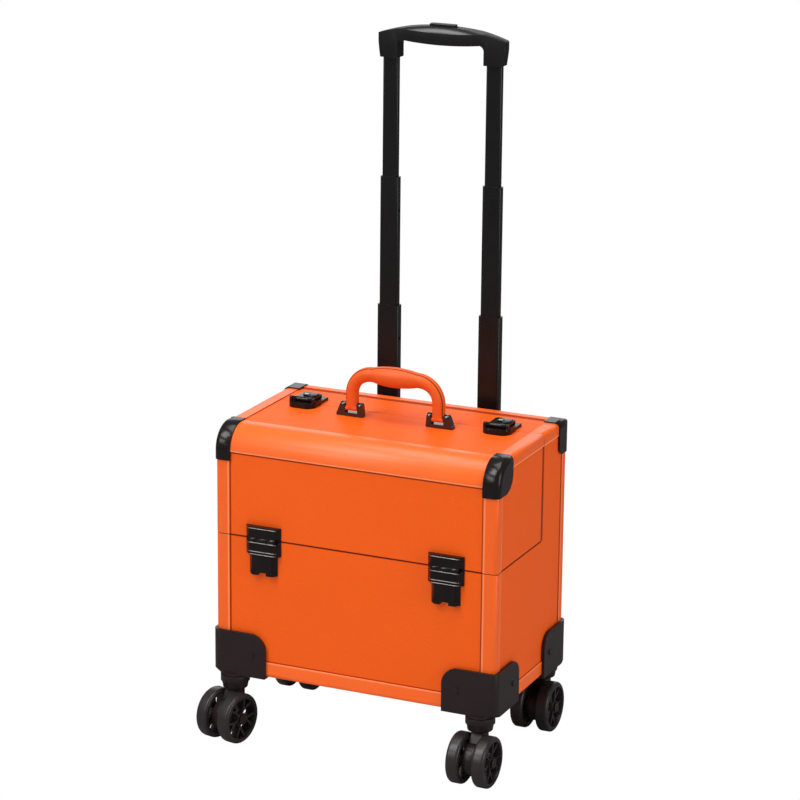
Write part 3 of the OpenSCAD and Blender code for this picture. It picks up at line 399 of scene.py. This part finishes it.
def key_barrel(name, dark, bright):
    """Black barrel with a bright plug around the key's axis."""
    net = Net(name)
    x, y, _ = net.axes()
    brushed = net.noise(500.0, 3.0, 0.6)
    from_x, from_y = x.absolute() - KEY_X, y - KEY_Y
    plug = (PLUG_EDGE - (from_x * from_x + from_y * from_y) * TO_MM2).clamp()
    return net.set(
        Base_Color=net.blend(plug, dark, bright),
        Metallic=plug * 0.6,
        Roughness=0.28 + brushed * 0.2,
        Normal=net.bump(brushed, 0.05, 0.0001),
    )


def felt(name, pale, dark):
    """Soft lining with a short nap."""
    net = Net(name, Sheen_Weight=0.4)
    return net.set(
        Base_Color=net.blend(net.noise(900.0, 4.0, 0.7), pale, dark),
        Roughness=0.9 + net.noise(400.0) * 0.1,
        Normal=net.bump(net.noise(1500.0, 3.0, 0.7), 0.5, 0.0004),
    )


plastic = moulded("black_moulding", linear(32, 21, 22), 0.36, shine=0.26)
fitting = moulded("black_fitting", linear(26, 20, 20), 0.3, 500.0, 0.06, 0.28)
tube = moulded("black_tube", linear(10, 9, 9), 0.3, 900.0, 0.04, 0.3)
gloss = moulded("black_gloss", linear(19, 11, 11), 0.18, 300.0, 0.03, 0.2)
foot_gloss = moulded("foot_gloss", linear(24, 14, 14), 0.16, 300.0, 0.03, 0.6)
cap_black = moulded("cap_moulding", linear(22, 15, 16), 0.2, 300.0, 0.03, 0.19)
tray_black = moulded("tray_moulding", linear(40, 38, 38), 0.5, 500.0, 0.2)
# The wheels' strong edge value paints their spoke edges paler, mostly as painted highlight.
wheel_black = moulded("wheel_moulding", linear(36, 31, 32), 0.34, 400.0, 0.08, 0.34, 2.4)
grip_black = polished_grip("grip_moulding", linear(24, 23, 24))
# The ridges get a lighter metal than the black hinge leaves, as painted highlight.
ridge = metal("ridge_highlight_metal", (0.3, 0.27, 0.26, 1.0), 0.3)
steel = metal("bright_steel", (0.62, 0.62, 0.64, 1.0), 0.25)
keyway = key_barrel("key_barrel", linear(22, 16, 16), linear(236, 230, 220))
lining = felt("felt_lining", linear(52, 50, 52), linear(34, 32, 34))
print("black finishes:", plastic.name, fitting.name, tube.name, wheel_black.name)

# %% [markdown]
# ## Dress the CAD nodes
#
# Each node takes the finish of its material slot, or one of its own where the light falls on it
# in a special way. A weld joins the imported faces, and a small bevel gives every crisp edge the
# soft line that catches the light on a real case.

# %% Finishes and soft edges
FINISH = {"orange_board": board, "orange_profile": profile, "orange_handle": handle_skin,
          "black_plastic": plastic, "black_metal": fitting, "tube_metal": tube,
          "bright_steel": steel, "felt": lining, "tray_plastic": tray_black,
          "wheel_rubber": wheel_black}
SOFTNESS = {"orange_board": 0.0004, "orange_profile": 0.0005, "black_plastic": 0.0006,
            "black_metal": 0.0005, "tube_metal": 0.0002, "tray_plastic": 0.0006,
            "wheel_rubber": 0.0006}
OWN = {"base_rear_panel": rear_board, "base_front_panel": front_board,
       "lid_front_panel": front_board, "base_side_panels": side_board,
       "lid_side_panels": side_board, "lid_top_panel": top_board, "rear_top_panel": top_board,
       "base_posts": post_paint, "lid_posts": post_paint, "lid_top_profiles": rail_paint,
       "rear_top_profiles": rail_paint, "lid_front_rail": nose_paint,
       "bottom_profiles": foot_paint, "hinge_pins": gloss, "hinge_upper_leaves": gloss,
       "hinge_lower_leaves": gloss, "lid_corners": cap_black, "rear_top_corners": cap_black,
       "handle_feet": foot_gloss, "lock_cases": gloss, "lock_strikes": gloss,
       "lock_flap_left": gloss, "lock_flap_right": gloss, "lock_barrel_left": keyway,
       "lock_barrel_right": keyway, "trolley_grip": grip_black, "release_button": grip_black}
WELD_DISTANCE, CRISP = 0.00001, math.radians(40)

slot_of = {part["node"]: part["material_slot"] for part in frame["record"]["subparts"]}
for name, node in nodes.items():
    slot = slot_of[name]
    node.data.materials.clear()
    node.data.materials.append(OWN.get(name, FINISH[slot]))
    if slot in SOFTNESS:
        weld = node.modifiers.new("weld", "WELD")
        weld.merge_threshold = WELD_DISTANCE
        bevel = node.modifiers.new("soft_edge", "BEVEL")
        bevel.width = SOFTNESS[slot]
        bevel.segments = 2
        bevel.limit_method = "ANGLE"
        bevel.angle_limit = CRISP
        bevel.harden_normals = True
print("dressed", len(nodes), "nodes")

# %% [markdown]
# ## Pieces swept from rings
#
# Every piece that the lesson adds is a closed skin over rings of points. A few helpers make the
# rings, join several skins into one mesh, and hang the mesh on the body that carries it.

# %% Mesh helpers
MM = 0.001
DOME_RADIUS, DOME_REACH = 0.35, 0.8     # a rod's domed end, as parts of its radius


def skinned(rings, flip=False):
    """Points and faces of a closed skin over rings of points; flip turns the faces over."""
    count = len(rings[0])
    points = [point for one in rings for point in one]
    faces = []
    for n in range(len(rings) - 1):
        for k in range(count):
            a, b = n * count + k, n * count + (k + 1) % count
            faces.append((a, a + count, b + count, b) if flip else (a, b, b + count, a + count))
    first, last = tuple(range(count)), tuple(range(len(points) - count, len(points)))
    return points, faces + ([first, last[::-1]] if flip else [first[::-1], last])


def joined(skins):
    """Several lists of points and faces as one."""
    points, faces = [], []
    for more_points, more_faces in skins:
        start = len(points)
        points += more_points
        faces += [tuple(start + i for i in face) for face in more_faces]
    return points, faces


def mesh_piece(name, points, faces, material, body):
    """A smooth-shaded mesh that rides on a body."""
    mesh = bpy.data.meshes.new(name)
    mesh.from_pydata(points, [], faces)
    mesh.validate()
    mesh.shade_smooth()
    mesh.materials.append(material)
    piece = bpy.data.objects.new(name, mesh)
    bpy.context.scene.collection.objects.link(piece)
    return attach(piece, body)


def turns(count):
    """Angles once around."""
    return [2 * math.pi * k / count for k in range(count)]


def squared(value, power):
    """Draws a sine or cosine towards a square; power 2 leaves it round."""
    return math.copysign(abs(value) ** (2 / power), value)


def rod(path, radius, sides=10):
    """A round bar along a path that runs mainly along X, with domed ends."""
    reach, small = radius * DOME_REACH, radius * DOME_RADIUS
    stations = [(path[0], -reach, small), *[(point, 0.0, radius) for point in path],
                (path[-1], reach, small)]
    return skinned([[(x + shift, y + r * math.cos(a), z + r * math.sin(a)) for a in turns(sides)]
                    for (x, y, z), shift, r in stations])


def rounded(cx, cy, width, depth, power, count=40):
    """A soft-cornered rectangle as points in XY."""
    return [(cx + width / 2 * squared(math.cos(a), power),
             cy + depth / 2 * squared(math.sin(a), power)) for a in turns(count)]


def block(outline, low, high, soft):
    """An upright block over an outline in XY, with a rounded top edge."""
    cx, cy = (sum(point[axis] for point in outline) / len(outline) for axis in (0, 1))
    rows = [(0.0, low)]
    for a in (math.pi * k / 8 for k in range(5)):
        rows.append((soft * (1 - math.cos(a)), high - soft * (1 - math.sin(a))))
    rings = []
    for inset, z in rows:
        shares = [1 - inset / math.hypot(x - cx, y - cy) for x, y in outline]
        rings.append([(cx + (x - cx) * share, cy + (y - cy) * share, z)
                      for (x, y), share in zip(outline, shares)])
    return skinned(rings)


print("mesh helpers ready")

# %% [markdown]
# ## The sewn carry handle
#
# Leather is wrapped around a firm core and sewn along the outer side. One ring of points is swept
# along two legs, two bends and a grip. The grip swells inwards towards its middle, the bends blend
# into it, and two seams leave a narrow strip along the outer side.

# %% Sweep the handle
# Millimetres, in the CAD frame.
FOOT_X, HANDLE_Y, PIVOT_Z, RISE = 62.0, 9.0, 442.5, 46.8
LEG_R, BEND_R, LEG_END, CUFF = 8.5, 30.0, 5.5, 0.9
SEAM_OFF, SEAM_HALF, SEAM_DEPTH, STRIP_RISE = 4.7, 0.6, 1.0, 0.4
SWELL_FROM, SWELL_IN, SWELL_SIDE = 0.3, 2.6, 1.3        # along the bend, from a share of it on
BULGE_OUT, BULGE_IN, BULGE_SIDE = 3.5, 3.9, 3.7         # added towards the grip's middle

# Steps along the handle and around a ring.
END_STEPS, LEG_STEPS, BEND_STEPS, GRIP_STEPS = 7, 9, 24, 16
STRIP_STEPS, WRAP_STEPS = 6, 16
SEAM = STRIP_STEPS + 1                                  # the ring's point in a seam's bottom
AROUND = 2 * (STRIP_STEPS + WRAP_STEPS + 2)


def smooth(t):
    t = min(1.0, max(0.0, t))
    return t * t * (3 - 2 * t)


def left_half():
    """Stations from the left foot to the middle: centre, outward direction, radii, squareness."""
    top, flat = PIVOT_Z + RISE, FOOT_X - BEND_R
    left = (-1.0, 0.0)
    rows = []
    for k in range(END_STEPS + 1):
        drop = LEG_END * (1 - k / END_STEPS)
        cuff = CUFF if k == 0 else 0.25 * CUFF if k == 1 else 0.0
        side = math.sqrt(LEG_R ** 2 - drop ** 2) - cuff
        centre = (-FOOT_X, PIVOT_Z - drop + 0.1 * cuff)
        rows.append((centre, left, (LEG_R - cuff, LEG_R - cuff, side), 2 + 3 * min(1.0, drop / 3)))
    for k in range(1, LEG_STEPS):
        centre = (-FOOT_X, PIVOT_Z + (RISE - BEND_R) * k / LEG_STEPS)
        rows.append((centre, left, (LEG_R, LEG_R, LEG_R), 2))
    for k in range(BEND_STEPS + 1):
        a = math.radians(180 - 90 * k / BEND_STEPS)
        swell = smooth((k / BEND_STEPS - SWELL_FROM) / (1 - SWELL_FROM))
        centre = (-flat + BEND_R * math.cos(a), top - BEND_R + BEND_R * math.sin(a))
        radii = (LEG_R, LEG_R + SWELL_IN * swell, LEG_R + SWELL_SIDE * swell)
        rows.append((centre, (math.cos(a), math.sin(a)), radii, 2))
    for k in range(1, GRIP_STEPS + 1):
        x = -flat * (1 - k / GRIP_STEPS)
        bulge = 1 - (x / flat) ** 2
        radii = (LEG_R + BULGE_OUT * bulge, LEG_R + SWELL_IN + BULGE_IN * bulge,
                 LEG_R + SWELL_SIDE + BULGE_SIDE * bulge)
        rows.append(((x, top), (0.0, 1.0), radii, 2))
    return rows


def ring_angles(side, power):
    """Angles around a ring from the outer side on, with three of them on each seam."""
    seam = [math.asin(((SEAM_OFF + d * SEAM_HALF) / side) ** (power / 2)) for d in (-1, 0, 1)]
    half = [seam[0] * k / STRIP_STEPS for k in range(STRIP_STEPS)] + seam
    half += [seam[2] + (math.pi - seam[2]) * k / WRAP_STEPS for k in range(1, WRAP_STEPS + 1)]
    return half + [-a for a in half[-2:0:-1]]


def ring(station):
    """The points around one station; the strip between the seams stands proud."""
    (cx, cz), (nx, nz), (outer, inner, side), power = station
    points = []
    for k, a in enumerate(ring_angles(side, power)):
        u, v = math.cos(a), math.sin(a)
        u = squared(u, power) * (outer if u > 0 else inner)
        v = squared(v, power) * side
        if u > 0 and abs(v) < SEAM_OFF:
            u += STRIP_RISE * (1 - (v / SEAM_OFF) ** 4)
        if k in (SEAM, AROUND - SEAM):
            scale = 1 - SEAM_DEPTH / math.hypot(u, v)
            u, v = u * scale, v * scale
        points.append((MM * (cx + nx * u), MM * (HANDLE_Y + v), MM * (cz + nz * u)))
    return points


half = left_half()
mirrored = [((-c[0], c[1]), (-n[0], n[1]), radii, power) for c, n, radii, power in half[-2::-1]]
rings = [ring(station) for station in half + mirrored]
print("swept", len(rings), "rings of", len(rings[0]))

# %% Dress the handle
SEAM_FACES = (SEAM - 1, SEAM, AROUND - SEAM - 1, AROUND - SEAM)

handle = mesh_piece("sewn_handle", *skinned(rings, flip=True), handle_skin, "handle")
handle.data.materials.append(seam_line)
for i, face in enumerate(handle.data.polygons):
    if i < (len(rings) - 1) * AROUND and i % AROUND in SEAM_FACES:
        face.material_index = 1
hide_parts("carry_handle")
print("handle:", len(handle.data.polygons), "faces")

# %% [markdown]
# ## Hinge ridges
#
# The hinges carry thin rounded ridges that catch the light; they are a lighter metal than the black
# leaves, as painted highlight. Each one finds the leaf in front of it with a ray, so it always sits
# on the metal.

# %% Hinge ridges
RIDGES = {"upper": ("lid", (0.2996,)), "lower": ("case", (0.2801, 0.2684, 0.2646))}
RIDGE_R, RIDGE_OUT = 0.0006, 0.3        # radius, and how much of it the axis stands proud
HINGE_X, HINGE_STEPS = 0.130, range(-22, 21, 2)         # steps in millimetres
RAY_Y = -0.2


def leaf_front(node, x, z):
    """Y of the leaf's front at a place, found by a ray from the front."""
    hit, at, _, _ = node.ray_cast((x, RAY_Y, z), (0.0, 1.0, 0.0))
    return at.y if hit else None


for tag, (body, heights) in RIDGES.items():
    leaves = nodes["hinge_" + tag + "_leaves"]
    rods = []
    for side in (-1, 1):
        for z in heights:
            places = [side * HINGE_X + MM * step for step in HINGE_STEPS]
            fronts = [(x, leaf_front(leaves, x, z)) for x in places]
            path = [(x, y - RIDGE_R * RIDGE_OUT, z) for x, y in fronts if y is not None]
            if len(path) > 2:
                rods.append(rod(path, RIDGE_R))
    ridges = mesh_piece("hinge_ridges_" + tag, *joined(rods), ridge, body)
    print(ridges.name, len(rods), "ridges")

# %% [markdown]
# ## Lock flaps
#
# Each lock flap turns on a roll at its front. It is a thin plate with a raised knob around the key
# and a short beak that reaches over the strike.

# %% Lock flaps
FLAP_X, FLAP_LOW, FLAP_HIGH = 0.140, 0.4363, 0.4423
ROLL_Y, ROLL_Z, FLAP_END = 0.018, FLAP_LOW + 0.003, 0.052
PLATE_Y, PLATE_DEPTH = (ROLL_Y + FLAP_END) / 2, FLAP_END - ROLL_Y
RODS = (                                # steps along X in millimetres, radius, sides
    ((-13.4, -6, 0, 6, 13.4), 0.003, 24),
    ((-17, 0, 17), 0.0015, 16),
)
BLOCKS = (                              # plate, knob and beak: outline, bottom, top, soft edge
    ((0.0, PLATE_Y, 0.028, PLATE_DEPTH, 9.0), FLAP_LOW, FLAP_LOW + 0.0036, 0.0008),
    ((0.005, 0.0368, 0.018, 0.0165, 4.5), FLAP_LOW, FLAP_HIGH, 0.0016),
    ((0.0, FLAP_END - 0.0016, 0.026, 0.0028, 9.0), FLAP_LOW - 0.0022, FLAP_LOW + 0.001, 0.0002),
)

for side, tag in ((-1, "left"), (1, "right")):
    x = side * FLAP_X
    skins = [rod([(x + MM * step, ROLL_Y, ROLL_Z) for step in steps], radius, sides)
             for steps, radius, sides in RODS]
    skins += [block(rounded(x + offset, y, width, depth, power), low, high, soft)
              for (offset, y, width, depth, power), low, high, soft in BLOCKS]
    flap = mesh_piece("lock_flap_dressed_" + tag, *joined(skins), gloss, "flap_" + tag)
    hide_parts("lock_flap_" + tag)
print("lock flaps dressed")

# %% [markdown]
# ## Studio
#
# A pale floor, a pale sky and large soft lamps. Towards the camera the floor and the sky show plain
# white, as the photograph does, while the object is lit and mirrored by their real brightness.

# %% Floor and sky
WHITE = (1.0, 1.0, 1.0, 1.0)
FLOOR_GREY, MIRRORED_GREY = (0.7, 0.7, 0.7, 1.0), (0.22, 0.22, 0.22, 1.0)
FLOOR_REACH, SKY_STRENGTH = 9, 0.22


def output_of(tree, kind):
    return next(node for node in tree.nodes if node.bl_idname == kind)


def plain_white(tree, lit, kind, output):
    """Shows white to the camera and keeps the lit shader for every other ray."""
    path = tree.nodes.new("ShaderNodeLightPath")
    white = tree.nodes.new(kind)
    white.inputs["Color"].default_value = WHITE
    white.inputs["Strength"].default_value = 1.0
    mix = tree.nodes.new("ShaderNodeMixShader")
    tree.links.new(path.outputs["Is Camera Ray"], mix.inputs[0])
    tree.links.new(lit.outputs[0], mix.inputs[1])
    tree.links.new(white.outputs[0], mix.inputs[2])
    tree.links.new(mix.outputs[0], output_of(tree, output).inputs["Surface"])


floor_mesh = bpy.data.meshes.new("studio_floor")
corners = [(x * FLOOR_REACH, y * FLOOR_REACH, 0) for x, y in ((-1, -1), (1, -1), (1, 1), (-1, 1))]
floor_mesh.from_pydata(corners, [], [(0, 1, 2, 3)])
floor = bpy.data.objects.new("studio_floor", floor_mesh)
bpy.context.scene.collection.objects.link(floor)
floor_net = Net("floor_paint", Roughness=0.8)
glossy = floor_net.node("ShaderNodeLightPath")["Is Glossy Ray"]
floor_net.set(Base_Color=floor_net.blend(glossy, FLOOR_GREY, MIRRORED_GREY))
plain_white(floor_net.tree, floor_net.shader, "ShaderNodeEmission", "ShaderNodeOutputMaterial")
floor_mesh.materials.append(floor_net.material)

world = bpy.data.worlds.new("studio_sky")
bpy.context.scene.world = world
world.use_nodes = True
sky = world.node_tree.nodes["Background"]
sky.inputs["Color"].default_value = WHITE
sky.inputs["Strength"].default_value = SKY_STRENGTH
plain_white(world.node_tree, sky, "ShaderNodeBackground", "ShaderNodeOutputWorld")
print("floor and sky ready")

# %% Lamps
LAMPS = (                               # name, place, height it points at, size, watts
    ("overhead", (-0.1, -0.1, 2.7), 0.4, (1.7, 1.2), 40),
    ("key", (-1.2, -1.75, 3.0), 0.5, (1.0, 1.3), 58),
    ("front_left", (-1.5, -2.7, 1.75), 0.4, (1.1, 0.8), 23),
    ("back_card", (-1.2, 4.2, 1.9), 0.4, (4.0, 2.0), 34),
    ("right_fill", (2.8, -0.6, 1.0), 0.4, (1.2, 1.6), 31),
)

for name, at, aim, size, power in LAMPS:
    light = bpy.data.lights.new(name, "AREA")
    light.shape = "RECTANGLE"
    light.size, light.size_y = size
    light.energy = power
    lamp = bpy.data.objects.new(name, light)
    lamp.location = at
    lamp.rotation_euler = (Vector((0.0, 0.0, aim)) - Vector(at)).to_track_quat("-Z", "Y").to_euler()
    bpy.context.scene.collection.objects.link(lamp)
print(len(LAMPS), "lamps")
